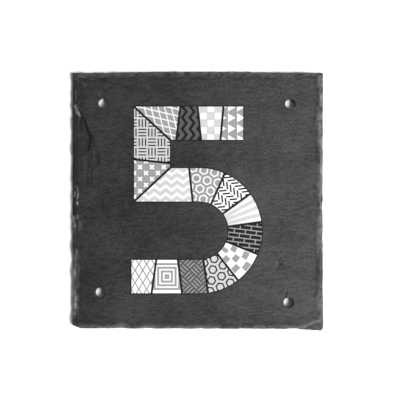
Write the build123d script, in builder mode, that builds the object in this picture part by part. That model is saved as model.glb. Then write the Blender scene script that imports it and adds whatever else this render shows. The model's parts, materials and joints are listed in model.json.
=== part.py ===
from build123d import *
import os
from itertools import pairwise
from math import atan2, degrees, hypot, radians, sqrt

# A house number plaque: a square of riven slate, dressed by hand, with a numeral printed on its face.
# Seen from the front, X runs to the right and Z up. The back lies on Y = 0 and the face looks along -Y.

# Slate
plaque_width = 150.2
plaque_height = 153.1
thickness = 7.0
top_bow = 0.8
right_bow = 0.3
corner_drop = 1.8
corner_drop_run = 22.0
broken_corner_run = 4.9
broken_corner_rise = 2.3
rounded_corner = 1.6

# Dressed edges: chips broken from the face, down to a narrow land at the back
edge_land = 2.8
edge_bevel = 1.0
chip_radius = 40.0
chip_radius_spread = 30.0
chip_pitch = 13.0
chip_shift = 0.6
chip_depth_spread = 1.2
left_chip_inset = 3.4
left_chip_spread = 1.2
right_chip_inset = 2.4
right_chip_spread = 1.0
end_chip_inset = 1.7
end_chip_spread = 0.9
corner_chip_inset = 6.5
corner_chip_radius = 24.0
golden_share = 0.618

# Flake scar: a leaf of slate that has come away beside the left edge
flake_inset = 11.0
flake_length = 63.0
flake_height = 25.0
flake_depth = 0.8
flake_wall_angle = 35.0

# Fixing holes, each from its own corner of the slate, across and then up or down
hole_diameter = 6.0
top_left_hole = (18.6, 18.2)
top_right_hole = (20.0, 19.0)
bottom_left_hole = (16.9, 21.6)
bottom_right_hole = (21.0, 17.7)

# Numeral: a plain block 5, from the middle of the plaque
numeral_left = -37.9
numeral_top = 55.9
numeral_height = 111.0
top_bar_length = 64.9
top_bar_height = 19.7
stem_width = 21.3
stroke = 19.8
bowl_radius = 37.2
bowl_straight = 38.8
foot_overhang = 1.5

# Print: a black ground, patches of colour on it, and small marks on those
film = 0.12
outline = 0.65
seam = 1.3
smallest_mark = 0.4
repeats = 8
top_bar_seams = ((26.3, -7), (38.8, 6), (52.3, -5))
stem_seam = (32.5, -6)
bowl_bar_seam = (33.8, 6)
foot_seams = ((13.3, -8), (28.8, 7))
bowl_seam_angles = (66, 36, 8, -22, -52, -82)

# Corners of the slate and the parts of the numeral that follow from the sizes above
half_width = plaque_width / 2
half_height = plaque_height / 2
top_left = Vector(-half_width, half_height)
top_right = Vector(half_width, half_height)
bottom_right = Vector(half_width, -half_height - corner_drop)
bottom_left = Vector(-half_width, -half_height)
bowl_inner = bowl_radius - stroke
bowl_middle = bowl_radius - stroke / 2
bowl_x = numeral_left + bowl_straight
bowl_z = numeral_top - numeral_height + bowl_radius
foot_left = numeral_left - foot_overhang
face_plane = Plane.XZ.offset(thickness)


def uneven(number, salt):
    """A value from 0 to 1 that differs from chip to chip and never falls into step."""
    return (number * golden_share + salt) % 1


def chip(place, inward, inset, depth, radius):
    """Breaks a hollow chip from an edge: a ball that meets the face at inset and the edge at depth."""
    chord = hypot(inset, depth)
    reach = sqrt(radius**2 - chord**2 / 4)
    inside = inset / 2 - reach * depth / chord
    below = depth / 2 - reach * inset / chord
    centre = place + inward * inside
    with Locations((centre.X, below - thickness, centre.Y)):
        Sphere(radius, mode=Mode.SUBTRACT)


def dress(start, end, least_inset, spread, salt):
    """Chips one edge from corner to corner, clockwise as seen from the front."""
    along = (end - start).normalized()
    inward = Vector(along.Y, -along.X)
    chips = round((end - start).length / chip_pitch)
    for number in range(chips):
        share = (number + 0.5 + chip_shift * (uneven(number, salt) - 0.5)) / chips
        inset = least_inset + spread * uneven(number, 2 * salt)
        depth = thickness - edge_land - chip_depth_spread * uneven(number, 3 * salt)
        radius = chip_radius + chip_radius_spread * uneven(number, 4 * salt)
        chip(start + (end - start) * share, inward, inset, depth, radius)


# Slate slab
with BuildPart() as slate:
    with BuildSketch(Plane.XZ):
        with BuildLine():
            ThreePointArc(top_left, (0, half_height + top_bow), top_right)
            ThreePointArc(top_right, (half_width - right_bow, 0), bottom_right)
            level_edge = Line(
                (broken_corner_run - half_width, -half_height),
                (half_width - corner_drop_run, -half_height),
            )
            TangentArc(level_edge @ 1, bottom_right, tangent=level_edge % 1)
            Line(level_edge @ 0, (-half_width, broken_corner_rise - half_height))
            Line((-half_width, broken_corner_rise - half_height), top_left)
        make_face()
        fillet(vertices().sort_by_distance(top_right)[0], rounded_corner)
    extrude(amount=thickness)
    face_rim = faces().sort_by(Axis.Y)[0].edges()
    chamfer(face_rim, edge_bevel)

    dress(top_left, top_right, end_chip_inset, end_chip_spread, salt=0.13)
    dress(top_right, bottom_right, right_chip_inset, right_chip_spread, salt=0.29)
    dress(bottom_right, bottom_left, end_chip_inset, end_chip_spread, salt=0.41)
    dress(bottom_left, top_left, left_chip_inset, left_chip_spread, salt=0.23)
    for corner, inward in ((bottom_left, Vector(1, 1)), (bottom_right, Vector(-1, 2))):
        chip(corner, inward.normalized(), corner_chip_inset, thickness - edge_land, corner_chip_radius)

    flake_radius = (flake_length**2 / 4 + flake_inset**2) / (2 * flake_inset)
    with BuildSketch(face_plane):
        with Locations((flake_inset - flake_radius - half_width, flake_height)):
            Circle(flake_radius)
    extrude(amount=-flake_depth, taper=flake_wall_angle, mode=Mode.SUBTRACT)

    with BuildSketch(face_plane):
        with Locations(
            top_left + Vector(top_left_hole[0], -top_left_hole[1]),
            top_right + Vector(-top_right_hole[0], -top_right_hole[1]),
            bottom_left + Vector(bottom_left_hole[0], bottom_left_hole[1]),
            bottom_right + Vector(-bottom_right_hole[0], bottom_right_hole[1]),
        ):
            Circle(hole_diameter / 2)
    extrude(amount=-thickness, mode=Mode.SUBTRACT)


# Drawing of the numeral and its patches, flat, in X and Z
with BuildSketch() as numeral:
    with Locations((bowl_x, bowl_z)):
        Circle(bowl_radius)
        Circle(bowl_inner, mode=Mode.SUBTRACT)
        Rectangle(bowl_radius, 2 * bowl_radius, align=(Align.MAX, Align.CENTER), mode=Mode.SUBTRACT)
    with Locations((numeral_left, bowl_z + bowl_radius)):
        Rectangle(bowl_straight, stroke, align=(Align.MIN, Align.MAX))
    with Locations((foot_left, bowl_z - bowl_radius)):
        Rectangle(bowl_straight + foot_overhang, stroke, align=(Align.MIN, Align.MIN))
    with Locations((numeral_left, numeral_top)):
        Rectangle(top_bar_length, top_bar_height, align=(Align.MIN, Align.MAX))
        Rectangle(stem_width, numeral_top - bowl_z - bowl_inner, align=(Align.MIN, Align.MAX))


def on_top_bar(distance, turn=0):
    """A place on the middle of the top bar, from its left end."""
    return Location((numeral_left + distance, numeral_top - top_bar_height / 2), turn)


def on_stem(distance, turn=0):
    """A place on the middle of the stem, down from the top of the numeral."""
    return Location((numeral_left + stem_width / 2, numeral_top - distance), turn)


def on_bowl_bar(distance, turn=0):
    """A place on the middle of the bar that leads to the bowl, from its left end."""
    return Location((numeral_left + distance, bowl_z + bowl_middle), turn)


def on_bowl(angle):
    """A place on the middle of the bowl, turned so that its own X points out from the bowl's centre."""
    return Location((bowl_x, bowl_z), angle) * Location((bowl_middle, 0))


def on_foot(distance, turn=0):
    """A place on the middle of the foot, from its left end."""
    return Location((foot_left + distance, bowl_z - bowl_middle), turn)


def on_mitre(outer, inner):
    """A place on the seam from an outer corner of the numeral to the inner corner beside it."""
    middle = (outer + inner) / 2
    return Location((middle.X, middle.Y), degrees(atan2(inner.Y - outer.Y, inner.X - outer.X)))


def middles(*cuts):
    """The middle of each stretch between one cut and the next."""
    return [(start + end) / 2 for start, end in pairwise(cuts)]


# Seams: upright or leaning ones across the bars, rays across the bowl, and mitres at two corners
top_bar_cuts = [distance for distance, lean in top_bar_seams]
foot_cuts = [distance for distance, lean in foot_seams]
stem_length = numeral_top - bowl_z - bowl_middle
foot_length = bowl_straight + foot_overhang
upper_corner = Vector(numeral_left, numeral_top)
lower_corner = Vector(numeral_left, bowl_z + bowl_inner)
seam_places = [on_top_bar(distance, 90 + lean) for distance, lean in top_bar_seams]
seam_places += [on_foot(distance, 90 + lean) for distance, lean in foot_seams]
seam_places += [on_bowl(angle) for angle in bowl_seam_angles]
seam_places += [on_stem(*stem_seam), on_bowl_bar(bowl_bar_seam[0], 90 + bowl_bar_seam[1])]
seam_places += [
    on_mitre(upper_corner, upper_corner + Vector(stem_width, -top_bar_height)),
    on_mitre(lower_corner, lower_corner + Vector(stem_width, stroke)),
]
with BuildSketch() as patches:
    add(numeral.sketch)
    with Locations(*seam_places):
        Rectangle(2 * stroke, seam, mode=Mode.SUBTRACT)

# A place on each patch, along the numeral from the top left corner round to the foot's end
patch_places = [on_top_bar(d) for d in middles(stem_width / 2, *top_bar_cuts, top_bar_length)]
patch_places += [on_stem(d) for d in middles(top_bar_height / 2, stem_seam[0], stem_length)]
patch_places += [on_bowl_bar(d) for d in middles(stem_width / 2, bowl_bar_seam[0])]
patch_places += [on_bowl(angle) for angle in middles(90, *bowl_seam_angles)]
patch_places += [on_foot(d) for d in middles(foot_length, *reversed(foot_cuts), 0)]


# Motifs, each drawn about its own place and trimmed to its patch
def geese(width=5.4, height=4.4, gap=1.0):
    """Columns of triangles that point along X."""
    with GridLocations(height + gap, width + gap, repeats, repeats):
        Polygon((0, -width / 2), (height, 0), (0, width / 2))


def checks(size=4.3, gap=0.5):
    """Squares on every other place of a board."""
    with Locations((0, 0), (size, size)):
        with GridLocations(2 * size, 2 * size, repeats, repeats):
            Rectangle(size - gap, size - gap)


def chevrons(run=3.4, rise=2.6, band=1.9, pitch=4.6):
    """Zigzag bands, one above the other."""
    upper = [(step * run, (step % 2) * rise) for step in range(-repeats, repeats + 1)]
    lower = [(x, z - band) for x, z in reversed(upper)]
    with GridLocations(pitch, pitch, 1, repeats):
        Polygon(*upper, *lower, align=None)


def diamonds(width=4.6, height=7.4, gap=1.0):
    """Harlequin diamonds, each row half a step along from the next."""
    side = (width - gap) / 2
    tip = (height - gap) / 2
    with Locations((0, 0), (width / 2, height / 2)):
        with GridLocations(width, height, repeats, repeats):
            Polygon((-side, 0), (0, -tip), (side, 0), (0, tip))


def crosses(arm=3.2, bar=1.0, pitch=5.0):
    """Upright crosses on a grid."""
    with GridLocations(pitch, pitch, repeats, repeats):
        Rectangle(arm, bar)
        Rectangle(bar, arm)


def hexagons(radius=2.9, band=0.9, gap=0.7):
    """Hexagon frames, packed as in a honeycomb."""
    with HexLocations(radius + gap / 2, repeats, repeats):
        RegularPolygon(radius, side_count=6)
        RegularPolygon(radius - band, side_count=6, mode=Mode.SUBTRACT)


def herringbone(length=4.4, bar=0.9, column=4.0, pitch=2.7):
    """Columns of short bars that lean one way and then the other."""
    for side, lean in ((0, 45), (column, -45)):
        with Locations((side, 0)):
            with GridLocations(2 * column, pitch, repeats, 2 * repeats):
                Rectangle(length, bar, rotation=lean)


def bricks(length=6.6, height=2.6, gap=0.7):
    """Courses of bricks in running bond."""
    with Locations((0, 0), (length / 2, height)):
        with GridLocations(length, 2 * height, repeats, repeats):
            Rectangle(length - gap, height - gap)


def basket(bar=0.7, pitch=1.9, bars=3):
    """Groups of bars that lie one way and then the other, as in a basket."""
    block = pitch * bars
    length = block - pitch / 2
    for corner in ((0, 0), (block, block)):
        with Locations(corner):
            with GridLocations(2 * block, 2 * block, repeats // 2, repeats // 2):
                with GridLocations(pitch, pitch, 1, bars):
                    Rectangle(length, bar)
                with Locations((block, 0)):
                    with GridLocations(pitch, pitch, bars, 1):
                        Rectangle(bar, length)


def nested_squares(largest=16.0, step=4.4, band=1.2):
    """Square frames, one inside the other."""
    side = largest
    while side > 2 * band:
        Rectangle(side, side)
        Rectangle(side - 2 * band, side - 2 * band, mode=Mode.SUBTRACT)
        side -= step


def ring_checks(rows=5, turn=9.0, gap=0.5):
    """A board of checks bent round the bowl."""
    depth = stroke / rows
    with Locations((-bowl_middle, 0)):
        for row in range(rows):
            near = bowl_inner + row * depth + gap / 2
            far = near + depth - gap
            half_turn = radians(turn / 2) - gap / (near + far)
            near_side = Vector(near, 0).rotate(Axis.Z, degrees(half_turn))
            far_side = Vector(far, 0).rotate(Axis.Z, degrees(half_turn))
            for step in range(row % 2 - repeats, repeats, 2):
                with Locations(Location((0, 0), step * turn)):
                    Polygon(
                        (near_side.X, near_side.Y),
                        (near_side.X, -near_side.Y),
                        (far_side.X, -far_side.Y),
                        (far_side.X, far_side.Y),
                        align=None,
                    )


def sunburst(turn=7.0, width=2.4):
    """Rays that spread from the bowl's centre."""
    with Locations((-bowl_middle, 0)):
        for step in range(-repeats, repeats):
            with Locations(Location((0, 0), (step + 0.5) * turn)):
                Polygon((bowl_inner, 0), (bowl_radius, -width / 2), (bowl_radius, width / 2), align=None)


# Each patch in the same order: its colour, and its motif, turned and in another ink
patch_designs = (
    ("white", diamonds, 45, "grey"),
    ("dark_grey", chevrons, 90, "black"),
    ("pale_grey", checks, 0, "white"),
    ("mid_grey", geese, 0, "white"),
    ("pale_grey", basket, 0, "black"),
    ("mid_grey", crosses, 45, "white"),
    ("pale_grey", chevrons, 0, "white"),
    ("mid_grey", hexagons, 0, "white"),
    ("white", herringbone, 0, "black"),
    ("pale_grey", sunburst, 0, "white"),
    ("mid_grey", bricks, 0, "black"),
    ("white", ring_checks, 0, "grey"),
    ("pale_grey", hexagons, 0, "black"),
    ("dark_grey", basket, 45, "grey"),
    ("white", nested_squares, 0, "grey"),
    ("mid_grey", diamonds, 0, "white"),
)
fields = {"white": [], "pale_grey": [], "mid_grey": [], "dark_grey": []}
marks = {"white": [], "grey": [], "black": []}
for place, (colour, motif, turn, ink) in zip(patch_places, patch_designs):
    patch = patches.faces().sort_by_distance(place.position)[0]
    fields[colour].append(patch)
    with BuildSketch() as drawing:
        with Locations(place * Location((0, 0), turn)):
            motif()
        add(patch, mode=Mode.INTERSECT)
    marks[ink] += [mark for mark in drawing.faces() if mark.area > smallest_mark]


# Black ground, seen as the outline and the seams
with BuildPart() as ground:
    with BuildSketch(face_plane):
        add(numeral.sketch)
        offset(amount=outline)
    extrude(amount=film)

os.makedirs("parts", exist_ok=True)
slate.part.label = "slate_plaque"
export_step(slate.part, "parts/slate_plaque.step")
ground.part.label = "print_ground"
export_step(ground.part, "parts/print_ground.step")

# Patches of colour on the ground
for colour, faces_of_colour in fields.items():
    with BuildPart() as patch_film:
        with BuildSketch(face_plane.offset(film)):
            add(faces_of_colour)
        extrude(amount=film)
    patch_film.part.label = f"patch_{colour}"
    export_step(patch_film.part, f"parts/patch_{colour}.step")

# Motifs on the patches
for ink, faces_of_ink in marks.items():
    with BuildPart() as motif_film:
        with BuildSketch(face_plane.offset(2 * film)):
            add(faces_of_ink)
        extrude(amount=film)
    motif_film.part.label = f"motif_{ink}"
    export_step(motif_film.part, f"parts/motif_{ink}.step")
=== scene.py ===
import json
import math
from collections import namedtuple

import bpy
import numpy as np
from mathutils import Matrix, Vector


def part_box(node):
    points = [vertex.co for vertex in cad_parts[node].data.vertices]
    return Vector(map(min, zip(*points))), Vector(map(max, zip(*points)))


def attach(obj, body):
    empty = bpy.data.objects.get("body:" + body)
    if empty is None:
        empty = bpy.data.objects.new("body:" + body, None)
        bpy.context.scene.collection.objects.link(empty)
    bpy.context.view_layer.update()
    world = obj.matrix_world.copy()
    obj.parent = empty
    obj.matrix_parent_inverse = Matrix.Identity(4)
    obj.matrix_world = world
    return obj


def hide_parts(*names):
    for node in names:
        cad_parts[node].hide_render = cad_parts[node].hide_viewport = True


# A house number plaque: a square of riven slate, dressed by hand, with a numeral printed on its face.
# Seen from the front, X runs to the right and Z up. The back lies on Y = 0 and the face looks along -Y.
# Lengths are in millimetres until a mesh, a light or the camera is made. MM turns them into metres.
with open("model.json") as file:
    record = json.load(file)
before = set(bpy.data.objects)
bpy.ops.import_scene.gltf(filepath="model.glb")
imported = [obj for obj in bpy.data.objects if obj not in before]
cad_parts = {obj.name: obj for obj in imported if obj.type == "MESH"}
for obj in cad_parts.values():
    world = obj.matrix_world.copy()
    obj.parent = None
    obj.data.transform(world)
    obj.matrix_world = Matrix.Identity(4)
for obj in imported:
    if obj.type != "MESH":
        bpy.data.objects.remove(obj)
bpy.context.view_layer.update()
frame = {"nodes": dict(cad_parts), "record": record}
MM = 0.001

# Slate, from the frame's own boxes
slate_low, slate_high = (np.array(corner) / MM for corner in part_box("slate_plaque"))
print_low, print_high = (np.array(corner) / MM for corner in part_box("print_ground"))
thickness = -slate_low[1]
top_bow = 0.8
right_bow = 0.3
half_width = slate_high[0]
half_height = slate_high[2] - top_bow
corner_drop = -half_height - slate_low[2]
corner_drop_run = 22.0
broken_corner_run = 4.9
broken_corner_rise = 2.3
broken_tip_run = 1.5
broken_tip_rise = 2.2
rounded_corner = 1.6
top_left = np.array([-half_width, half_height])
top_right = np.array([half_width, half_height])
bottom_right = np.array([half_width, -half_height - corner_drop])
bottom_left = np.array([-half_width, -half_height])

# Holes, from the record's bores: X, Z and radius
holes = [
    (mount["pos_m"][0] / MM, mount["pos_m"][2] / MM, mount["dims"]["r_mm"])
    for mount in frame["record"]["mounts"]
    if mount["kind"] == "bore"
]

# Dressed edges: broad hammer blows, which are the CAD model's apart from wider chips at the right and the
# bottom, and light taps that nibble at their outer parts. Each edge has the least inset of its chips, the
# spread of their insets and a salt.
Hammer = namedtuple("Hammer", "pitch shift radius radius_spread land depth_spread inset_share")
Edge = namedtuple("Edge", "inset spread salt")
blows = Hammer(
    pitch=13.0, shift=0.6, radius=40.0, radius_spread=30.0, land=2.8, depth_spread=1.2, inset_share=1.0
)
taps = Hammer(
    pitch=5.6, shift=0.8, radius=9.0, radius_spread=12.0, land=1.7, depth_spread=1.9, inset_share=0.74
)
top_chips = Edge(inset=1.7, spread=0.9, salt=0.13)
right_chips = Edge(inset=3.0, spread=1.0, salt=0.29)
bottom_chips = Edge(inset=2.4, spread=0.9, salt=0.41)
left_chips = Edge(inset=3.4, spread=1.2, salt=0.23)
corner_chip_inset = 6.5
corner_chip_radius = 24.0
bottom_left_blow = (1.0, 1.0)
bottom_right_blow = (-1.0, 2.0)
golden_share = 0.618
edge_bevel = 1.0
edge_wear = 0.4
edge_wear_fade = 0.03
rim_softness = 0.5

# Leaves of slate that show as steps on the chips: their thickness, the shares of it that come before a riser
# and that the riser takes, how much of the steps shows, and the depth from which they show in full
leaf_thickness = 0.8
leaf_tread = 0.3
leaf_riser = 0.4
leaf_share = 0.5
leaf_depth = 0.7

# How fresh the broken stone is, from dark and weathered at 0 to pale at 1: by height, beside the left edge
# and the right one, and by place along X, beside the top edge and the bottom one
fresh_sides = (
    (-78.0, 0.08, 0.20),
    (-71.0, 0.16, 0.40),
    (-66.0, 0.75, 0.60),
    (-52.0, 0.75, 0.65),
    (-48.0, 0.65, 0.25),
    (-33.0, 0.55, 0.25),
    (-29.0, 0.20, 0.90),
    (-17.0, 0.20, 1.00),
    (-15.0, 0.28, 1.00),
    (-9.0, 0.22, 1.00),
    (-7.0, 0.05, 1.00),
    (50.0, 0.09, 0.90),
    (58.0, 0.14, 0.55),
    (78.0, 0.14, 0.50),
)
fresh_ends = (
    (-75.0, 0.50, 0.10),
    (-68.0, 0.95, 0.32),
    (-52.0, 0.95, 0.75),
    (-46.0, 0.55, 0.95),
    (4.0, 0.66, 0.90),
    (12.0, 0.78, 0.65),
    (30.0, 0.82, 0.75),
    (36.0, 0.88, 0.95),
    (58.0, 0.88, 0.95),
    (66.0, 0.85, 0.55),
    (75.0, 0.55, 0.25),
)
fresh_blend = 3.0
fresh_limits = (0.1, 2.0)
side_fresh_least = 0.3
side_fresh_spread = 0.5

# Reach of the masks of broken stone and of painted shade, which also dulls the stone, about a chip's rim,
# and how steeply the painted shade rises and how strong it is
broken_reach = 1.4
broken_run = 4.5
rim_shade_width = 3.0
rim_shade_rise = 2.0
rim_shade_share = 0.45

# Flake scar beside the left edge: each leaf's rim by height, with its reach from the edge and its drop there
first_leaf = (
    (-8.0, 2.0, 0.00),
    (0.4, 7.5, 0.05),
    (9.9, 12.3, 0.15),
    (17.1, 12.0, 0.28),
    (19.5, 13.5, 0.25),
    (21.9, 16.2, 0.20),
    (26.1, 17.1, 0.15),
    (31.5, 14.7, 0.15),
    (35.7, 13.5, 0.20),
    (38.1, 11.9, 0.60),
    (42.6, 9.5, 0.85),
    (48.0, 8.1, 0.90),
    (51.9, 6.0, 0.60),
    (58.5, 2.6, 0.00),
)
second_leaf = (
    (26.0, 9.6, 0.00),
    (30.3, 10.6, 0.45),
    (33.9, 11.2, 0.60),
    (37.0, 11.3, 0.40),
    (39.5, 10.2, 0.00),
)
leaf_wall = 0.7
scar_fade = 1.5
scar_depth = 0.3
streak_depth = 0.1
streak_share = 0.6
chip_share_in_scar = 0.35
broken_loss_in_scar = 0.5

# Riven face and back, and the dents of the face, each with its X, Z, size and drop
face_swell = 0.2
print_margin = 5.0
back_swell = 0.35
back_margin = 6.0
back_broken_reach = 2.0
back_rim_drop = 0.5
back_rim_width = 1.5
dents = (
    (47.9, -38.6, 1.1, 0.6),
    (38.3, 49.5, 1.2, 0.08),
    (49.7, 39.3, 1.7, 0.06),
    (39.5, 25.5, 2.0, 0.06),
    (-46.6, 12.0, 2.2, 0.06),
    (57.4, -8.0, 1.8, 0.05),
    (21.4, -66.5, 1.6, 0.07),
)

# Marks on the stone, as strokes through points in X and Z, each with a width and a strength. Bruises are
# pale, where the hammer crushed the stone. Cracks are dark lines of painted shadow, where a leaf of slate
# lifted.
bruises = (
    (((-73.3, 56.0), (-72.1, 53.1), (-70.3, 50.7)), 1.4, 0.45),
    (((-72.9, 66.0), (-72.6, 60.0)), 0.5, 0.2),
    (((-73.9, 7.5), (-73.0, 9.0), (-71.8, 7.5), (-71.2, 5.1)), 0.5, 0.3),
    (((-73.7, 2.8), (-73.0, 5.4)), 0.7, 0.9),
    (((-71.2, 4.6), (-71.6, 1.6), (-72.7, 0.4)), 0.5, 0.4),
    (((-72.0, -0.9), (-71.7, -2.0)), 0.7, 0.6),
    (((-71.6, -8.8), (-71.5, -10.4)), 0.6, 0.5),
    (((-74.6, -9.8), (-73.8, -15.2)), 1.1, 0.5),
    (((-70.4, -13.0), (-69.9, -16.2)), 1.1, 0.12),
    (((-72.2, -29.6), (-73.0, -36.8), (-73.7, -44.6)), 1.0, 0.4),
    (((-74.3, -45.8), (-74.2, -54.7)), 0.8, 0.4),
    (((-73.2, -54.7), (-73.0, -63.7)), 1.2, 1.0),
    (((-73.6, -63.7), (-73.9, -67.9)), 0.8, 0.65),
    (((-70.6, 74.0), (-67.0, 73.1)), 0.6, 0.15),
    (((-64.6, 72.6), (-62.2, 72.2)), 1.0, 0.07),
    (((-68.2, 70.0), (-66.6, 68.8)), 1.1, 0.06),
    (((-59.5, 62.6), (-57.7, 65.6)), 0.8, 0.06),
    (((63.2, -75.1), (66.6, -73.4)), 1.5, 0.2),
    (((66.2, -73.5), (68.4, -72.7), (73.4, -71.9)), 1.0, 0.22),
    (((38.6, -75.3), (43.6, -75.4)), 1.0, 0.1),
    (((49.6, -75.1), (61.4, -75.2)), 1.0, 0.1),
    (((47.0, -36.6), (48.4, -38.8)), 1.1, 0.05),
)
crack_shadows = (
    (((-71.2, 55.5), (-69.1, 51.9), (-67.0, 48.0)), 0.6, 0.6),
    (((-67.0, 48.0), (-66.6, 44.7), (-64.9, 40.5), (-63.8, 38.1), (-64.0, 33.9), (-64.6, 30.3)), 1.1, 1.0),
    (((-62.5, 38.4), (-61.6, 35.7), (-60.4, 31.5), (-58.0, 26.7)), 0.6, 0.3),
    (((-58.0, 26.1), (-58.9, 21.9), (-61.6, 19.5), (-63.1, 17.1), (-63.1, 14.1)), 0.8, 0.5),
    (((-62.8, 13.5), (-62.8, 9.9)), 0.9, 0.45),
    (((-69.4, 29.1), (-70.3, 24.3)), 0.6, 0.7),
    (((-65.8, 25.5), (-64.6, 22.5), (-61.9, 21.6)), 0.7, 0.35),
    (((-69.7, 13.5), (-69.4, 8.7)), 0.9, 0.5),
    (((49.0, -35.6), (49.4, -36.4)), 1.0, 0.3),
    (((49.8, -37.4), (50.0, -38.2)), 1.0, 0.75),
    (((47.3, -40.8), (48.4, -40.4)), 1.1, 0.25),
    (((50.4, -40.4), (52.0, -40.0)), 1.0, 0.35),
    (((53.4, -52.2), (53.2, -54.4)), 0.6, 0.35),
    (((53.1, -54.7), (52.3, -57.4)), 0.8, 0.65),
    (((50.2, -53.2), (49.4, -55.2)), 1.1, 0.25),
    (((-72.4, -69.2), (-71.8, -72.2)), 1.2, 0.9),
    (((40.0, -72.4), (47.0, -72.9)), 1.6, 0.35),
    (((49.0, -72.9), (58.0, -73.0)), 1.5, 0.35),
)
stroke_core = 0.2

# Noise fields: the size of the largest features, a salt that sets a field apart, its octaves, how many times
# closer its features lie along X and Z, and the contrast of its values about their middle
Field = namedtuple("Field", "size salt octaves squeeze contrast middle", defaults=(4, (1.0, 1.0), 1.0, 0.0))
chip_wander_x = Field(5.0, 1, contrast=0.45)
chip_wander_z = Field(5.0, 2, contrast=0.45)
leaf_bend = Field(11.0, 3, octaves=1, contrast=0.7)
chip_crumbs = Field(1.8, 4, octaves=3, contrast=0.12)
scar_rim = Field(5.0, 6, octaves=3, contrast=0.3)
scar_ripples = Field(2.4, 8, octaves=3, squeeze=(2.4, 0.2), contrast=0.12)
scar_streaks = Field(2.0, 19, octaves=3, squeeze=(1.6, 0.35), middle=0.3)
face_hollows = Field(22.0, 9, octaves=3, contrast=0.9)
dent_wander_x = Field(1.2, 11, octaves=1, contrast=0.4)
dent_wander_z = Field(1.2, 12, octaves=1, contrast=0.4)
bruise_edge = Field(1.4, 14, octaves=1, contrast=0.5)
crack_shadow_edge = Field(1.4, 20, octaves=1, contrast=0.5)
rim_shade_patches = Field(2.6, 16, octaves=2, contrast=1.3, middle=0.6)
rim_shade_edge = Field(4.0, 18, octaves=3, contrast=0.6)
fresh_clumps = Field(3.5, 22, octaves=2, contrast=0.35)
fresh_crumbs = Field(1.5, 24, octaves=1, contrast=0.9)
bottom_wear = Field(5.0, 21, contrast=0.8)
top_wear = Field(5.0, 23, contrast=0.8)
left_wear = Field(5.0, 25, contrast=0.8)
right_wear = Field(5.0, 27, contrast=0.8)
back_hollows = Field(20.0, 31, contrast=0.5, middle=0.5)
side_wear = Field(5.0, 33, squeeze=(0.9, 9.0), middle=0.3)
hole_wear = Field(0.8, 35, octaves=1, contrast=0.06)

# The lattice that all the fields share, and how far each salt turns and shifts it
lattice_side = 256
lattice_seed = 5
lattice = np.random.default_rng(lattice_seed).uniform(-1, 1, (lattice_side, lattice_side))
first_turn = 0.6
salt_turn = 1.7
salt_shift = (31.7, 57.3)
octave_share = 0.55

# Grids: the lines of the face, their pitch at the edge, past the holes and in the middle, the widths of
# these zones, the knots that a hole takes out of the grid and those that it bends, and the rows down the
# wall of a hole and down the edge
face_lines = 256
edge_line_pitch = 0.26
hole_line_pitch = 0.5
middle_line_pitch = 0.8
edge_zone = 10.0
hole_zone = 24.0
middle_zone = 16.0
line_samples = 2000
hole_cells = 6
hole_reach = 22
hole_rows = (0.0, 0.3, 0.6, 0.9)
rim_round = 0.14
side_rows = 7
side_end = -0.7
side_inset = 0.35
side_inset_rows = 2
crease_angle = 50.0

# Finish of the slate: greys as linear brightness, dark then light where there are two, and where painted
# light makes the face paler, along X towards the right, and lower down along Z, apart from its left end
face_greys = (0.012, 0.036)
# Painted light and sheen: the paler greys that the face takes towards the right and lower down
lit_face_greys = (0.0225, 0.055)
# Painted shade: the grey that darkens the stone just inside the chips, in the cracks as painted shadow, and
# in streaks on the scar
painted_shade_grey = 0.008
weathered_greys = (0.011, 0.03)
split_greys = (0.105, 0.185)
crumb_grey = 0.24
dust_grey = 0.42
right_light_x = (-13.0, 24.0)
lower_light_z = (-10.0, -65.0)
lower_light_x = (-62.0, -46.0)
lower_light_share = 0.45
slate_roughness = (0.42, 0.36)
broken_roughness = 0.45
dulled_roughness = 0.45
slate_specular = 0.105

# Inks: the brightness of the full film, of a thin one and of the stone in its pinholes, and the nodes that
# it prints
Ink = namedtuple("Ink", "name full thin stone nodes")
inks = (
    Ink("Black ink", 0.006, 0.010, 0.02, ("print_ground", "motif_black")),
    Ink("White ink", 0.78, 0.72, 0.42, ("patch_white", "motif_white")),
    Ink("Pale grey ink", 0.52, 0.47, 0.33, ("patch_pale_grey",)),
    Ink("Mid grey ink", 0.28, 0.25, 0.165, ("patch_mid_grey", "motif_grey")),
    Ink("Dark grey ink", 0.088, 0.073, 0.047, ("patch_dark_grey",)),
)
ink_roughness = (0.62, 0.5)
ink_specular = 0.1

# Camera and stage. The photograph's side and the place of the origin in it are in pixels, and its scale is
# the millimetres in one of them.
photo_side = 400
photo_scale = 0.5984
photo_origin = (197.8, 200.6)
camera_distance = 650.0
sensor_width = 36.0
wall_gap = 0.3
floor_drop = 600.0
sheet_reach = 260.0
floor_reach = 800.0
sheet_grey = 0.84
floor_grey = 0.9
floor_roughness = 0.9
even_light = 0.2
white_light = 1.0


# Noise
def ease(share):
    """The cubic from 0 to 1 that starts and ends level, with the share held between 0 and 1."""
    share = np.clip(share, 0, 1)
    return share * share * (3 - 2 * share)


def noise(x, z, size, salt):
    """Value noise from -1 to 1: random heights on a turned square lattice, eased from corner to corner."""
    turn = first_turn + salt_turn * salt
    across = (x * math.cos(turn) - z * math.sin(turn)) / size + salt_shift[0] * salt
    up = (x * math.sin(turn) + z * math.cos(turn)) / size + salt_shift[1] * salt
    column = np.floor(across).astype(int)
    row = np.floor(up).astype(int)
    right = ease(across - column)
    above = ease(up - row)
    columns = (column % lattice_side, (column + 1) % lattice_side)
    rows = (row % lattice_side, (row + 1) % lattice_side)
    low = lattice[columns[0], rows[0]] * (1 - right) + lattice[columns[1], rows[0]] * right
    high = lattice[columns[0], rows[1]] * (1 - right) + lattice[columns[1], rows[1]] * right
    return low * (1 - above) + high * above


def rough(x, z, field):
    """Fractal noise of a field: the sum of its octaves, each with half the size and octave_share of the
    height of the one before, times its contrast, about its middle."""
    x = x * field.squeeze[0]
    z = z * field.squeeze[1]
    total = 0
    height = 1.0
    for octave in range(field.octaves):
        total = total + height * noise(x, z, field.size / 2**octave, field.salt + octave)
        height *= octave_share
    return field.middle + field.contrast * total


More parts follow.
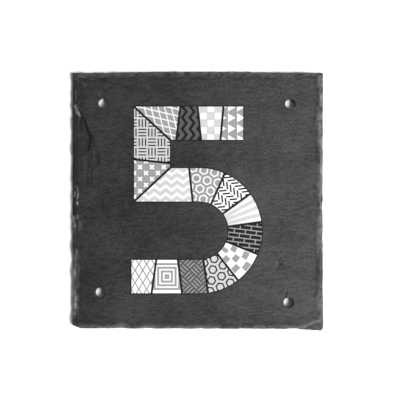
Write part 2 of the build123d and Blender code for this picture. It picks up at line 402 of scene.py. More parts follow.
# Outline of the slate: each edge is one coordinate as a function of the other
def top_edge(x):
    """A low bow between the corners, less the drop of the rounded corner at the right."""
    past = np.clip(x - (half_width - rounded_corner), 0, rounded_corner)
    drop = rounded_corner - np.sqrt(rounded_corner**2 - past**2)
    return half_height + top_bow * (1 - (x / half_width) ** 2) - drop


def bottom_edge(x):
    """Level, with a curve that falls to the right corner, and a straight break at each corner."""
    fall = corner_drop * np.clip((x - half_width + corner_drop_run) / corner_drop_run, 0, 1) ** 2
    rise = broken_corner_rise * np.clip((broken_corner_run - half_width - x) / broken_corner_run, 0, 1)
    tip = broken_tip_rise * np.clip((x - half_width + broken_tip_run) / broken_tip_run, 0, 1)
    return rise + tip - fall - half_height


def left_edge(z):
    """Upright, with the same break at the bottom."""
    past = np.clip((broken_corner_rise - half_height - z) / broken_corner_rise, 0, 1)
    return broken_corner_run * past - half_width


def right_edge(z):
    """A shallow hollow between the corners, less the rounded corner at the top and the break below."""
    low = -half_height - corner_drop
    share = (z - low) / (half_height - low)
    past = np.clip(z - (half_height - rounded_corner), 0, rounded_corner)
    drop = rounded_corner - np.sqrt(rounded_corner**2 - past**2)
    tip = broken_tip_run * np.clip((low + broken_tip_rise - z) / broken_tip_rise, 0, 1)
    return half_width - right_bow * 4 * share * (1 - share) - drop - tip


def edge_distance(x, z):
    """How far a point lies inside the nearest of the four edges."""
    return np.minimum.reduce([x - left_edge(z), right_edge(z) - x, top_edge(x) - z, z - bottom_edge(x)])


# Dressed edges
def uneven(number, salt):
    """A value from 0 to 1 that differs from chip to chip and never falls into step."""
    return (number * golden_share + salt) % 1


def chip_ball(place, inward, inset, depth, radius):
    """The ball that meets the face at inset and the edge at depth: its centre in X and Z, how far behind the
    face that lies, and its radius."""
    chord = math.hypot(inset, depth)
    reach = math.sqrt(radius**2 - chord**2 / 4)
    inside = inset / 2 - reach * depth / chord
    below = depth / 2 - reach * inset / chord
    return place + inward * inside, below, radius


def edge_chips(start, end, hammer, edge):
    """The balls that chip one edge from corner to corner, clockwise as seen from the front."""
    along = (end - start) / np.linalg.norm(end - start)
    inward = np.array([along[1], -along[0]])
    chips = round(np.linalg.norm(end - start) / hammer.pitch)
    for number in range(chips):
        share = (number + 0.5 + hammer.shift * (uneven(number, edge.salt) - 0.5)) / chips
        inset = hammer.inset_share * (edge.inset + edge.spread * uneven(number, 2 * edge.salt))
        depth = thickness - hammer.land - hammer.depth_spread * uneven(number, 3 * edge.salt)
        radius = hammer.radius + hammer.radius_spread * uneven(number, 4 * edge.salt)
        yield chip_ball(start + (end - start) * share, inward, inset, depth, radius)


def all_chips():
    """The balls of all the blows and taps, edge by edge, and one more blow on each bottom corner."""
    balls = []
    corner_depth = thickness - blows.land
    for hammer in (blows, taps):
        balls += edge_chips(top_left, top_right, hammer, top_chips)
        balls += edge_chips(top_right, bottom_right, hammer, right_chips)
        balls += edge_chips(bottom_right, bottom_left, hammer, bottom_chips)
        balls += edge_chips(bottom_left, top_left, hammer, left_chips)
    for corner, blow in ((bottom_left, bottom_left_blow), (bottom_right, bottom_right_blow)):
        inward = np.array(blow) / np.linalg.norm(blow)
        balls.append(chip_ball(corner, inward, corner_chip_inset, corner_depth, corner_chip_radius))
    return balls


def dressed_edge(x, z):
    """Depth of the dressed edges: the deepest of all the chip balls and the bevel, at a point that wanders
    by noise, with a rounded rim, then broken into leaves of slate and roughened by crumbs. Also how far
    inside the rim of the nearest chip the point lies, or outside it, below 0."""
    wander_x = x + rough(x, z, chip_wander_x)
    wander_z = z + rough(x, z, chip_wander_z)
    depth = np.maximum(edge_bevel - edge_distance(x, z), 0)
    inside = -thickness * np.ones_like(x)
    for (centre_x, centre_z), below, radius in all_chips():
        away = np.hypot(wander_x - centre_x, wander_z - centre_z)
        depth = np.maximum(depth, below + np.sqrt(np.maximum(radius**2 - away**2, 0)))
        inside = np.maximum(inside, math.sqrt(radius**2 - below**2) - away)
    depth = depth * (1 - np.exp(-depth / rim_softness))
    bend = rough(x, z, leaf_bend)
    leaf = depth / leaf_thickness + bend
    whole = np.floor(leaf)
    stepped = (whole + ease((leaf - whole - leaf_tread) / leaf_riser) - bend) * leaf_thickness
    broken_up = leaf_share * (stepped - depth) + rough(x, z, chip_crumbs)
    return depth + ease(depth / leaf_depth) * broken_up, inside


# Riven face
def leaf_scar(x, z, rim):
    """Depth where a leaf of slate came away: the drop at that height, past a ragged rim. Also how far inside
    the rim the point lies."""
    heights, reaches, drops = np.array(rim).T
    inside = np.interp(z, heights, reaches) - (x + half_width) + rough(x, z, scar_rim)
    return np.interp(z, heights, drops) * ease(inside / leaf_wall), inside


def flake_scar(x, z):
    """Depth of the flake scar: two leaves, one on the other, with fine ripples along Z where they feather
    out. Also a mask of the scar and one of the dark streaks in it."""
    first, inside = leaf_scar(x, z, first_leaf)
    second, _ = leaf_scar(x, z, second_leaf)
    fade = ease(inside / scar_fade)
    scarred = fade * ease(first / scar_depth)
    streaks = np.clip(rough(x, z, scar_streaks), 0, 1) * fade * ease(first / streak_depth)
    return first + second + rough(x, z, scar_ripples) * scarred, scarred, streaks


def strokes(x, z, marks, edge):
    """A mask of strokes: the strength of each along its line, falling to 0 a width away, ragged by noise."""
    mask = np.zeros_like(x)
    ragged = rough(x, z, edge)
    for points, width, strength in marks:
        for (start_x, start_z), (end_x, end_z) in zip(points, points[1:]):
            run_x = end_x - start_x
            run_z = end_z - start_z
            share = np.clip(((x - start_x) * run_x + (z - start_z) * run_z) / (run_x**2 + run_z**2), 0, 1)
            away = np.hypot(x - start_x - share * run_x, z - start_z - share * run_z)
            mask = np.maximum(mask, strength * (1 - ease(away / width - stroke_core + ragged)))
    return mask


def freshness(x, z):
    """How fresh broken stone is, from the tables for the two sides and the two ends, with a soft change
    between them on the diagonals."""
    heights, left, right = np.array(fresh_sides).T
    widths, top, bottom = np.array(fresh_ends).T
    side = np.where(x < 0, np.interp(z, heights, left), np.interp(z, heights, right))
    end = np.where(z > 0, np.interp(x, widths, top), np.interp(x, widths, bottom))
    return end + (side - end) * ease((abs(x) - abs(z)) / fresh_blend + 0.5)


def face_swelling(x, z):
    """Gentle hollows of the riven face, from 0 to face_swell deep, and its dents, level under the print."""
    outside = np.maximum.reduce([print_low[0] - x, x - print_high[0], print_low[2] - z, z - print_high[2]])
    depth = face_swell * np.clip(rough(x, z, face_hollows), 0, 1)
    wander_x = rough(x, z, dent_wander_x)
    wander_z = rough(x, z, dent_wander_z)
    for dent_x, dent_z, size, drop in dents:
        away = np.hypot(x - dent_x + wander_x, z - dent_z + wander_z)
        depth = depth + drop * np.exp(-((away / size) ** 2))
    return depth * ease(outside / print_margin)


def face_relief(x, z):
    """How far the face lies behind its flat plane: the deeper of the chips and the scar, and the swelling.
    Also masks of broken stone, of how fresh it is, in patches, of bruises, and of painted shade that also
    dulls the stone:
    in front of the chips, as painted shadow in the cracks, and in streaks on the scar."""
    dressed, inside = dressed_edge(x, z)
    flake, scarred, streaks = flake_scar(x, z)
    depth = np.maximum(dressed, chip_share_in_scar * dressed + flake) + face_swelling(x, z)
    depth = np.clip(depth, 0, thickness - blows.land / 2)
    broken = np.clip((inside + broken_reach) / broken_run, 0, 1) * (1 - broken_loss_in_scar * scarred)
    # Painted shade in a band just inside each chip's rim, in patches, which also dulls the stone
    patchy = np.clip(rough(x, z, rim_shade_patches), 0, 1)
    shade_and_dull = ease(rim_shade_rise * (inside + rim_shade_width) / rim_shade_width + rough(x, z, rim_shade_edge)) * patchy
    shade_and_dull = np.maximum(rim_shade_share * shade_and_dull * ease(1 - inside), streak_share * streaks)
    # Painted shadow in the cracks, as the shade of their undercuts
    shade_and_dull = np.maximum(shade_and_dull, strokes(x, z, crack_shadows, crack_shadow_edge))
    crumbs = rough(x, z, fresh_clumps) + rough(x, z, fresh_crumbs)
    fresh = freshness(x, z) * np.clip(1 + crumbs, *fresh_limits)
    return depth, broken, fresh, strokes(x, z, bruises, bruise_edge), shade_and_dull


# Grids
def line_places(length, count):
    """Places from 0 to 1 of grid lines that lie close at both edges and open out towards the middle: where
    the sum of one over the pitch comes to even steps."""
    away = np.linspace(0, length / 2, line_samples)
    pitch = edge_line_pitch + (hole_line_pitch - edge_line_pitch) * ease(away / edge_zone)
    pitch = pitch + (middle_line_pitch - hole_line_pitch) * ease((away - hole_zone) / middle_zone)
    steps = np.concatenate([[0], np.cumsum((1 / pitch[1:] + 1 / pitch[:-1]) / 2)])
    steps = steps / steps[-1] / 2
    half = np.interp(np.linspace(0, 0.5, count // 2 + 1), steps, away / length)
    return np.concatenate([half, 1 - half[-2::-1]])


def worn(place, along, wear):
    """How far an edge is worn back along its length: noise from 0 to edge_wear, none at the corners."""
    fade = ease(np.minimum(place, 1 - place) / edge_wear_fade)
    return edge_wear * np.clip(rough(along, 0 * along, wear), 0, 1) * fade


def stretched(low, high, left, right, u, v):
    """A patch stretched between four edges, for one coordinate: the sum of the two ruled surfaces between
    facing edges, less the flat one through the corners."""
    flat = (1 - u) * (1 - v) * low[0] + u * (1 - v) * low[-1]
    flat = flat + (1 - u) * v * high[0] + u * v * high[-1]
    return (1 - v) * low[:, None] + v * high[:, None] + (1 - u) * left[None, :] + u * right[None, :] - flat


def outline_grid(across, up):
    """Points of the slate in X and Z: a patch stretched between its four worn edges, whose corners lie in
    the middle of the broken and the rounded ones."""
    round_share = rounded_corner * (1 - math.sqrt(0.5))
    low_left = (broken_corner_run / 2 - half_width, broken_corner_rise / 2 - half_height)
    low_right = (half_width - broken_tip_run / 2, broken_tip_rise / 2 - half_height - corner_drop)
    high_left = (-half_width, half_height)
    high_right = (half_width - round_share, half_height - round_share)
    low_x = low_left[0] + (low_right[0] - low_left[0]) * across
    high_x = high_left[0] + (high_right[0] - high_left[0]) * across
    left_z = low_left[1] + (high_left[1] - low_left[1]) * up
    right_z = low_right[1] + (high_right[1] - low_right[1]) * up
    low_z = bottom_edge(low_x) + worn(across, low_x, bottom_wear)
    high_z = top_edge(high_x) - worn(across, high_x, top_wear)
    left_x = left_edge(left_z) + worn(up, left_z, left_wear)
    right_x = right_edge(right_z) - worn(up, right_z, right_wear)
    low_z[[0, -1]] = low_left[1], low_right[1]
    high_z[[0, -1]] = high_left[1], high_right[1]
    left_x[[0, -1]] = low_left[0], high_left[0]
    right_x[[0, -1]] = low_right[0], high_right[0]
    u = across[:, None]
    v = up[None, :]
    return stretched(low_x, high_x, left_x, right_x, u, v), stretched(low_z, high_z, left_z, right_z, u, v)


def hole_knots(x, z):
    """The grid knot nearest to each hole's middle, on an even line both ways."""
    knots = []
    for hole_x, hole_z, _ in holes:
        away = np.hypot(x[::2, ::2] - hole_x, z[::2, ::2] - hole_z)
        column, row = np.unravel_index(np.argmin(away), away.shape)
        knots.append((2 * column, 2 * row))
    return knots


def open_holes(x, z, knots, cells, reach):
    """Draws the grid open round each hole: square rings of knots become circles at the hole and go back to
    squares at reach knots away. Gives the new points and a mask of the knots that are left."""
    left = np.ones(x.shape, bool)
    columns, rows = np.indices(x.shape)
    for (hole_x, hole_z, radius), (column, row) in zip(holes, knots):
        aside = columns - column
        above = rows - row
        ring = np.maximum(abs(aside), abs(above))
        pull = ease(1 - ring / reach)
        x = x + pull * (hole_x - x[column, row])
        z = z + pull * (hole_z - z[column, row])
        angle = np.arctan2(above, aside)
        pitch = (x[column + reach, row] - hole_x - radius) / (reach - cells)
        away = radius + rim_round + (ring - cells) * pitch
        round_off = 1 - ease((ring - cells) / (reach - cells))
        x = np.where(ring < reach, x + round_off * (hole_x + away * np.cos(angle) - x), x)
        z = np.where(ring < reach, z + round_off * (hole_z + away * np.sin(angle) - z), z)
        left &= ring >= cells
    return x, z, left


def block_loop(low_column, high_column, low_row, high_row):
    """Columns and rows of the knots round a block of the grid, anticlockwise as seen from the front."""
    wide = np.arange(low_column, high_column)
    tall = np.arange(low_row, high_row)
    columns = [wide, np.full(len(tall), high_column), wide[::-1] + 1, np.full(len(tall), low_column)]
    rows = [np.full(len(wide), low_row), tall, np.full(len(wide), high_row), tall[::-1] + 1]
    return np.concatenate(columns), np.concatenate(rows)


def hole_loop(knot, cells):
    """Columns and rows of the knots round a hole, clockwise as seen from the front."""
    column, row = knot
    columns, rows = block_loop(column - cells, column + cells, row - cells, row + cells)
    return columns[::-1], rows[::-1]


# Mesh of the slate
class Shell:
    """Collects the points, masks and faces of one closed mesh."""

    masks = ("broken", "fresh", "crushed", "shade_and_dull")

    def __init__(self):
        self.points = []
        self.values = []
        self.faces = []
        self.count = 0

    def add_points(self, x, y, z, broken=0.0, fresh=0.0, crushed=0.0, shade_and_dull=0.0):
        """Adds points with their masks and gives back their numbers, in the shape that x has."""
        shape = np.shape(x)
        numbers = self.count + np.arange(np.prod(shape)).reshape(shape)
        rows = [np.broadcast_to(value, shape).ravel() for value in (x, y, z, broken, fresh, crushed, shade_and_dull)]
        self.points.append(np.stack(rows[:3], axis=1))
        self.values.append(np.stack(rows[3:], axis=1))
        self.count += numbers.size
        return numbers

    def add_grid(self, numbers, left, outwards):
        """Faces of a grid, without the cells in its holes, turned to look outwards or the other way."""
        corners = [numbers[:-1, :-1], numbers[1:, :-1], numbers[1:, 1:], numbers[:-1, 1:]]
        kept = left[:-1, :-1] & left[1:, :-1] & left[1:, 1:] & left[:-1, 1:]
        quads = np.stack([corner[kept] for corner in corners], axis=1)
        self.faces.append(quads if outwards else quads[:, ::-1])

    def add_band(self, first, second):
        """Faces between two loops of as many points."""
        self.faces.append(np.stack([first, second, np.roll(second, -1), np.roll(first, -1)], axis=1))

    def add_halving_band(self, first, second):
        """Triangles between a loop and one of half as many points."""
        odd = first[1::2]
        self.faces.append(np.stack([first[0::2], second, odd], axis=1))
        self.faces.append(np.stack([odd, second, np.roll(second, -1)], axis=1))
        self.faces.append(np.stack([odd, np.roll(second, -1), np.roll(first[0::2], -1)], axis=1))

    def mesh(self, name):
        """The mesh in metres, with the points that no face uses left out and the masks as attributes."""
        sizes = np.concatenate([np.full(len(face), face.shape[1]) for face in self.faces])
        corners = np.concatenate([face.ravel() for face in self.faces])
        used, corners = np.unique(corners, return_inverse=True)
        points = np.concatenate(self.points)[used] * MM
        values = np.concatenate(self.values)[used]
        mesh = bpy.data.meshes.new(name)
        mesh.vertices.add(len(points))
        mesh.vertices.foreach_set("co", points.ravel())
        mesh.loops.add(len(corners))
        mesh.loops.foreach_set("vertex_index", corners.ravel())
        mesh.polygons.add(len(sizes))
        mesh.polygons.foreach_set("loop_start", np.concatenate([[0], np.cumsum(sizes)[:-1]]))
        mesh.polygons.foreach_set("use_smooth", np.ones(len(sizes), bool))
        mesh.update(calc_edges=True)
        for column, mask in enumerate(self.masks):
            attribute = mesh.attributes.new(mask, "FLOAT", "POINT")
            attribute.data.foreach_set("value", values[:, column].astype(np.float32))
        return mesh


# A grid that is in the shell: the numbers of its points, and where they lie
Grid = namedtuple("Grid", "numbers x y z")


def add_face(shell, x, z, knots):
    """The face: a grid that is open at the holes and lies behind its flat plane by its relief."""
    x, z, left = open_holes(x, z, knots, hole_cells, hole_reach)
    depth, *masks = face_relief(x, z)
    y = depth - thickness
    numbers = shell.add_points(x, y, z, *masks)
    shell.add_grid(numbers, left, outwards=True)
    return Grid(numbers, x, y, z)


def add_back(shell, x, z, knots):
    """The back: a grid of half as many lines, with hollows from 0 to back_swell deep and a worn rim."""
    x, z, left = open_holes(x, z, knots, hole_cells // 2, hole_reach // 2)
    inside = edge_distance(x, z)
    hollow = back_swell * np.clip(rough(x, z, back_hollows), 0, 1) * ease(inside / back_margin)
    y = -hollow - back_rim_drop * (1 - ease(inside / back_rim_width))
    broken = 1 - ease(inside / back_broken_reach)
    numbers = shell.add_points(x, y, z, broken, freshness(x, z))
    shell.add_grid(numbers, left, outwards=False)
    return Grid(numbers, x, y, z)


def add_side(shell, face, back):
    """The broken edge of the slab: rows of points from the rim of the face back to side_end, drawn in
    towards the middle by noise from 0 to side_inset, and a last band to the back."""
    columns, rows = block_loop(0, face_lines, 0, face_lines)
    start = face.y[columns, rows]
    above = face.numbers[columns, rows]
    for row in range(1, side_rows + 1):
        y = start + (side_end - start) * row / side_rows
        wear = np.clip(rough(np.arange(len(above)), y, side_wear), 0, 1)
        inset = side_inset * wear * ease(row / side_inset_rows)
        x = face.x[columns, rows] * (1 - inset / half_width)
        z = face.z[columns, rows] * (1 - inset / half_height)
        fresh = side_fresh_least + side_fresh_spread * freshness(x, z)
        below = shell.add_points(x, y, z, broken=1.0, fresh=fresh)
        shell.add_band(above, below)
        above = below
    columns, rows = block_loop(0, face_lines // 2, 0, face_lines // 2)
    shell.add_halving_band(above, back.numbers[columns, rows])


def add_hole(shell, face, back, hole, knot, half_knot):
    """The wall of one hole: rings of its radius, roughened by noise, from the rim of the face towards the
    back, and a last band to the back."""
    hole_x, hole_z, radius = hole
    columns, rows = hole_loop(knot, hole_cells)
    angle = np.arctan2(rows - knot[1], columns - knot[0])
    start = face.y[columns, rows]
    above = face.numbers[columns, rows]
    for share in hole_rows:
        y = (start + rim_round) * (1 - share)
        away = radius + rough(radius * np.cos(angle), radius * np.sin(angle) + y, hole_wear)
        x = hole_x + away * np.cos(angle)
        z = hole_z + away * np.sin(angle)
        # Painted shade: the walls take the dark weathered greys of broken stone, with no freshness, so the
        # holes are dark inside; the mask makes them rough
        below = shell.add_points(x, y, z, broken=1.0, shade_and_dull=1.0)
        shell.add_band(above, below)
        above = below
    columns, rows = hole_loop(half_knot, hole_cells // 2)
    shell.add_halving_band(np.roll(above, 1), np.roll(back.numbers[columns, rows], 1))


def slate_mesh():
    """The slab: a grid for the face, one of half the lines behind, and bands down the edge and the holes."""
    shell = Shell()
    places = line_places(2 * half_width, face_lines)
    x, z = outline_grid(places, places)
    knots = hole_knots(x, z)
    half_knots = [(column // 2, row // 2) for column, row in knots]
    face = add_face(shell, x, z, knots)
    back = add_back(shell, x[::2, ::2], z[::2, ::2], half_knots)
    add_side(shell, face, back)
    for hole, knot, half_knot in zip(holes, knots, half_knots):
        add_hole(shell, face, back, hole, knot, half_knot)
    mesh = shell.mesh("slate")
    mesh.set_sharp_from_angle(angle=math.radians(crease_angle))
    return mesh


# Shader nodes. A Mix node has sockets of one name for each kind of value, so those for colours go by number.
mix_share = 0
mix_first = 6
mix_second = 7
mix_result = 2


def add_node(tree, kind, inputs=None, **settings):
    """A node with its settings, and each input set to a value or linked from another node's output."""
    node = tree.nodes.new(kind)
    for name, value in settings.items():
        setattr(node, name, value)
    for name, value in (inputs or {}).items():
        if isinstance(value, bpy.types.NodeSocket):
            tree.links.new(value, node.inputs[name])
        else:
            node.inputs[name].default_value = value
    return node


def grey(value):
    """A neutral colour of that linear brightness."""
    return (value, value, value, 1.0)


def mix(tree, share, first, second):
    """The colour between two others."""
    inputs = {mix_share: share, mix_first: first, mix_second: second}
    return add_node(tree, "ShaderNodeMix", inputs, data_type="RGBA").outputs[mix_result]


def shade(tree, share, greys):
    """The grey between a dark one and a light one."""
    return mix(tree, share, grey(greys[0]), grey(greys[1]))


def maths(tree, operation, first, second):
    """The result of one sum on two values."""
    return add_node(tree, "ShaderNodeMath", {0: first, 1: second}, operation=operation).outputs[0]


def blend(tree, *parts):
    """The sum of values, each times its share."""
    products = [maths(tree, "MULTIPLY", value, share) for value, share in parts]
    total = products[0]
    for product in products[1:]:
        total = maths(tree, "ADD", total, product)
    return total


def spread(tree, value, low, high, new_low=0.0, new_high=1.0):
    """A value from low to high, spread to run from new_low to new_high and held there."""
    inputs = {"Value": value, "From Min": low, "From Max": high, "To Min": new_low, "To Max": new_high}
    return add_node(tree, "ShaderNodeMapRange", inputs).outputs["Result"]


def ramp(tree, value, places, new_high=1.0):
    """A coordinate's run from 0 at the first place, in millimetres, to new_high at the second."""
    return spread(tree, value, places[0] * MM, places[1] * MM, new_high=new_high)


def mottle(tree, place, size, stretch=(1.0, 1.0, 1.0), lean=0.0, detail=4.0, roughness=0.6):
    """Noise from 0 to 1 with features of that size in millimetres, drawn out along some axes and leaning."""
    turn = (0.0, math.radians(lean), 0.0)
    turned = add_node(tree, "ShaderNodeMapping", {"Vector": place, "Rotation": turn}).outputs["Vector"]
    scale = tuple(1 / share for share in stretch)
    drawn = add_node(tree, "ShaderNodeMapping", {"Vector": turned, "Scale": scale}).outputs["Vector"]
    inputs = {"Vector": drawn, "Scale": 1 / (size * MM), "Detail": detail, "Roughness": roughness}
    return add_node(tree, "ShaderNodeTexNoise", inputs).outputs["Fac"]


def add_bump(tree, shader, height, strength, distance):
    """Bumps on a shader's normal, of that distance in millimetres."""
    inputs = {"Height": height, "Strength": strength, "Distance": distance * MM}
    bump = add_node(tree, "ShaderNodeBump", inputs)
    tree.links.new(bump.outputs["Normal"], shader.inputs["Normal"])


def new_group(name, inputs, outputs):
    """A node group with its named sockets, and the nodes at its two ends."""
    group = bpy.data.node_groups.new(name, "ShaderNodeTree")
    for socket, kind in inputs:
        group.interface.new_socket(socket, in_out="INPUT", socket_type=kind)
    for socket, kind in outputs:
        group.interface.new_socket(socket, in_out="OUTPUT", socket_type=kind)
    start = group.nodes.new("NodeGroupInput")
    end = group.nodes.new("NodeGroupOutput")
    return group, start, end


def riven_grain_group():
    """The grain of riven slate: a tone of clouds, streaks and flecks, and the height of its fine ripples."""
    group, start, end = new_group(
        "Riven grain",
        [("Vector", "NodeSocketVector")],
        [("Tone", "NodeSocketFloat"), ("Height", "NodeSocketFloat")],
    )
    place = start.outputs["Vector"]
    clouds = mottle(group, place, size=18.0, stretch=(1.6, 1.0, 1.0))
    streaks = mottle(group, place, size=1.7, stretch=(3.4, 1.0, 1.0), lean=4.0, detail=3.0)
    flecks = mottle(group, place, size=1.0, stretch=(1.4, 1.0, 1.0), lean=4.0, detail=2.0)
    tone = blend(group, (clouds, 0.3), (streaks, 0.32), (flecks, 0.38))
    group.links.new(spread(group, tone, low=0.42, high=0.58), end.inputs["Tone"])
    group.links.new(blend(group, (streaks, 0.65), (flecks, 0.35)), end.inputs["Height"])
    return group


def ink_film_group(grain):
    """A film of ink on riven slate: its colour clouds a little, and lets the stone through in pinholes."""
    group, start, end = new_group(
        "Ink film",
        [
            ("Vector", "NodeSocketVector"),
            ("Ink", "NodeSocketColor"),
            ("Thin ink", "NodeSocketColor"),
            ("Stone", "NodeSocketColor"),
        ],
        [("Color", "NodeSocketColor"), ("Roughness", "NodeSocketFloat"), ("Height", "NodeSocketFloat")],
    )
    place = start.outputs["Vector"]
    stone = add_node(group, "ShaderNodeGroup", node_tree=grain)
    group.links.new(place, stone.inputs["Vector"])
    pinholes = spread(group, mottle(group, place, size=0.7, detail=1.0), low=0.70, high=0.76, new_high=0.75)
    ink = mix(group, stone.outputs["Tone"], start.outputs["Thin ink"], start.outputs["Ink"])
    group.links.new(mix(group, pinholes, ink, start.outputs["Stone"]), end.inputs["Color"])
    group.links.new(spread(group, stone.outputs["Tone"], 0.0, 1.0, *ink_roughness), end.inputs["Roughness"])
    group.links.new(stone.outputs["Height"], end.inputs["Height"])
    return group


# Materials
def empty_material(name):
    """A material with no nodes yet, and its tree."""
    material = bpy.data.materials.new(name)
    material.use_nodes = True
    material.node_tree.nodes.clear()
    return material, material.node_tree


def plain_material(name):
    """A material with only its shader and output."""
    material, tree = empty_material(name)
    shader = add_node(tree, "ShaderNodeBsdfPrincipled")
    add_node(tree, "ShaderNodeOutputMaterial", {"Surface": shader.outputs["BSDF"]})
    return material, tree, shader


def own_place(tree):
    """The piece's own coordinates."""
    return add_node(tree, "ShaderNodeTexCoord").outputs["Object"]


def painted_light_mask(tree, place):
    """Painted light: where the face is painted paler, towards the right, and less so lower down, apart from
    its left end.
    """
    axes = add_node(tree, "ShaderNodeSeparateXYZ", {"Vector": place}).outputs
    low = ramp(tree, axes["Z"], lower_light_z, lower_light_share)
    low = maths(tree, "MULTIPLY", low, ramp(tree, axes["X"], lower_light_x))
    return maths(tree, "MAXIMUM", ramp(tree, axes["X"], right_light_x), low)


def slate_material(grain):
    """Riven slate: dark and a little silky on the face, with painted light towards the lower right, duller
    beside the chips with painted shade there and painted shadow in the cracks, pale where it is broken and
    palest where the hammer crushed it, with the edges of its leaves as streaks where it broke."""
    material, tree, shader = plain_material("Riven slate")
    place = own_place(tree)
    stone = add_node(tree, "ShaderNodeGroup", {"Vector": place}, node_tree=grain)
    tone = stone.outputs["Tone"]
    broken, fresh, crushed, shade_and_dull = (
        add_node(tree, "ShaderNodeAttribute", attribute_name=mask).outputs["Fac"] for mask in Shell.masks
    )
    leaves = mottle(tree, place, size=0.9, stretch=(3.0, 0.35, 3.0), detail=3.0)
    crumbs = mottle(tree, place, size=0.8, detail=3.0)
    # Painted light and sheen, as paler greys of the face towards the right and lower down
    painted_light = painted_light_mask(tree, place)
    face = mix(tree, painted_light, shade(tree, tone, face_greys), shade(tree, tone, lit_face_greys))
    # Painted shade beside the chips, painted shadow in the cracks, and dark streaks on the scar
    face = mix(tree, shade_and_dull, face, grey(painted_shade_grey))
    leaf_edges = spread(tree, leaves, low=0.35, high=0.65)
    weathered = shade(tree, leaf_edges, weathered_greys)
    split = shade(tree, leaf_edges, split_greys)
    split = mix(tree, spread(tree, crumbs, low=0.45, high=0.75, new_high=0.4), split, grey(crumb_grey))
    colour = mix(tree, broken, face, mix(tree, fresh, weathered, split))
    dust = maths(tree, "MULTIPLY", crushed, spread(tree, crumbs, low=0.3, high=0.6, new_low=0.35))
    tree.links.new(mix(tree, dust, colour, grey(dust_grey)), shader.inputs["Base Color"])
    gloss = spread(tree, tone, 0.0, 1.0, *slate_roughness)
    roughness = blend(tree, (gloss, 1.0), (broken, broken_roughness), (shade_and_dull, dulled_roughness))
    tree.links.new(roughness, shader.inputs["Roughness"])
    shader.inputs["Specular IOR Level"].default_value = slate_specular
    edges_of_leaves = maths(tree, "MULTIPLY", broken, leaves)
    height = blend(tree, (stone.outputs["Height"], 1.0), (edges_of_leaves, 2.0))
    add_bump(tree, shader, height, strength=0.6, distance=0.14)
    return material


def ink_material(film, ink):
    """One of the printing inks, on the shared film."""
    material, tree, shader = plain_material(ink.name)
    inputs = {
        "Vector": own_place(tree),
        "Ink": grey(ink.full),
        "Thin ink": grey(ink.thin),
        "Stone": grey(ink.stone),
    }
    coat = add_node(tree, "ShaderNodeGroup", inputs, node_tree=film)
    tree.links.new(coat.outputs["Color"], shader.inputs["Base Color"])
    tree.links.new(coat.outputs["Roughness"], shader.inputs["Roughness"])
    shader.inputs["Specular IOR Level"].default_value = ink_specular
    add_bump(tree, shader, coat.outputs["Height"], strength=0.3, distance=0.1)
    return material


# Pieces
grain = riven_grain_group()
film = ink_film_group(grain)
slate = bpy.data.objects.new("slate", slate_mesh())
bpy.context.scene.collection.objects.link(slate)
slate.data.materials.append(slate_material(grain))
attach(slate, "root")
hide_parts("slate_plaque")

# The films of ink stay as the CAD model has them, each with its own material
for ink in inks:
    printed = ink_material(film, ink)
    for node in ink.nodes:
        frame["nodes"][node].data.materials.clear()
        frame["nodes"][node].data.materials.append(printed)


# Stage: a white sheet on the wall behind the plaque, and a pale floor far below it
def stage_square(name, corners, material):
    """A flat square of the stage, through four corners that run anticlockwise as seen from its front."""
    mesh = bpy.data.meshes.new(name)
    mesh.from_pydata([Vector(corner) * MM for corner in corners], [], [(0, 1, 2, 3)])
    mesh.materials.append(material)
    square = bpy.data.objects.new(name, mesh)
    bpy.context.scene.collection.objects.link(square)
    return square


def sheet_material():
    """White paper. From behind it isn't there, so that the back of the plaque can be seen."""
    material, tree = empty_material("White sheet")
    paper = add_node(tree, "ShaderNodeBsdfDiffuse", {"Color": grey(sheet_grey)})
    behind = add_node(tree, "ShaderNodeNewGeometry").outputs["Backfacing"]
    clear = add_node(tree, "ShaderNodeBsdfTransparent")
    side = add_node(tree, "ShaderNodeMixShader", {0: behind, 1: paper.outputs[0], 2: clear.outputs[0]})
    add_node(tree, "ShaderNodeOutputMaterial", {"Surface": side.outputs[0]})
    return material


def floor_material():
    """A plain pale floor."""
    material, _, shader = plain_material("Pale floor")
    shader.inputs["Base Color"].default_value = grey(floor_grey)
    shader.inputs["Roughness"].default_value = floor_roughness
    return material


signs = ((-1, -1), (1, -1), (1, 1), (-1, 1))
sheet_corners = [(side * sheet_reach, wall_gap, end * sheet_reach) for side, end in signs]
floor_corners = [(side * floor_reach, end * floor_reach, -half_height - floor_drop) for side, end in signs]
sheet = stage_square("sheet", sheet_corners, sheet_material())
sheet.visible_shadow = False
stage_square("floor", floor_corners, floor_material())


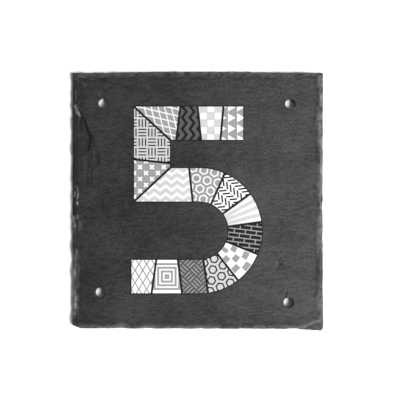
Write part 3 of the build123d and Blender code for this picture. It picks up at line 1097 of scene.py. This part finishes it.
def area_light(name, place, target, size, power):
    """A soft rectangular light at a place, turned to a target, in millimetres. The camera doesn't see it."""
    lamp = bpy.data.lights.new(name, "AREA")
    lamp.shape = "RECTANGLE"
    lamp.size = size[0] * MM
    lamp.size_y = size[1] * MM
    lamp.energy = power
    light = bpy.data.objects.new(name, lamp)
    bpy.context.scene.collection.objects.link(light)
    light.location = Vector(place) * MM
    light.rotation_euler = (Vector(target) - Vector(place)).to_track_quat("-Z", "Y").to_euler()
    light.visible_camera = False


# Lights: the key from the lower right, a weak panel for the sheen of the face, and a light on the back, from
# one side so that it doesn't shine along the walls of the holes
area_light(
    "key_softbox", place=(617.0, -1237.0, -219.0), target=(0.0, 0.0, 0.0), size=(400.0, 440.0), power=24.0
)
area_light(
    "sheen_panel", place=(234.0, -957.0, 320.0), target=(234.0, 0.0, 320.0), size=(420.0, 500.0), power=1.0
)
area_light(
    "back_fill", place=(520.0, 650.0, 300.0), target=(0.0, 0.0, 0.0), size=(300.0, 300.0), power=12.0
)


def studio_world():
    """Dim even light from all round, behind a white that only the camera sees."""
    world = bpy.data.worlds.new("Studio")
    bpy.context.scene.world = world
    world.use_nodes = True
    tree = world.node_tree
    tree.nodes.clear()
    seen = add_node(tree, "ShaderNodeLightPath").outputs["Is Camera Ray"]
    dim = add_node(tree, "ShaderNodeBackground", {"Color": grey(1.0), "Strength": even_light})
    white = add_node(tree, "ShaderNodeBackground", {"Color": grey(1.0), "Strength": white_light})
    both = add_node(tree, "ShaderNodeMixShader", {0: seen, 1: dim.outputs[0], 2: white.outputs[0]})
    add_node(tree, "ShaderNodeOutputWorld", {"Surface": both.outputs[0]})


studio_world()

# Camera: straight on, with the plaque where the photograph has it
middle_x = (photo_side / 2 - photo_origin[0]) * photo_scale
middle_z = (photo_origin[1] - photo_side / 2) * photo_scale
lens = bpy.data.cameras.new("camera")
lens.sensor_width = sensor_width
lens.lens = sensor_width * camera_distance / (photo_side * photo_scale)
camera = bpy.data.objects.new("camera", lens)
bpy.context.scene.collection.objects.link(camera)
camera.location = Vector((middle_x, -camera_distance - thickness / 2, middle_z)) * MM
camera.rotation_euler = (math.pi / 2, 0, 0)
bpy.context.scene.camera = camera
bpy.context.scene.view_settings.view_transform = "Standard"
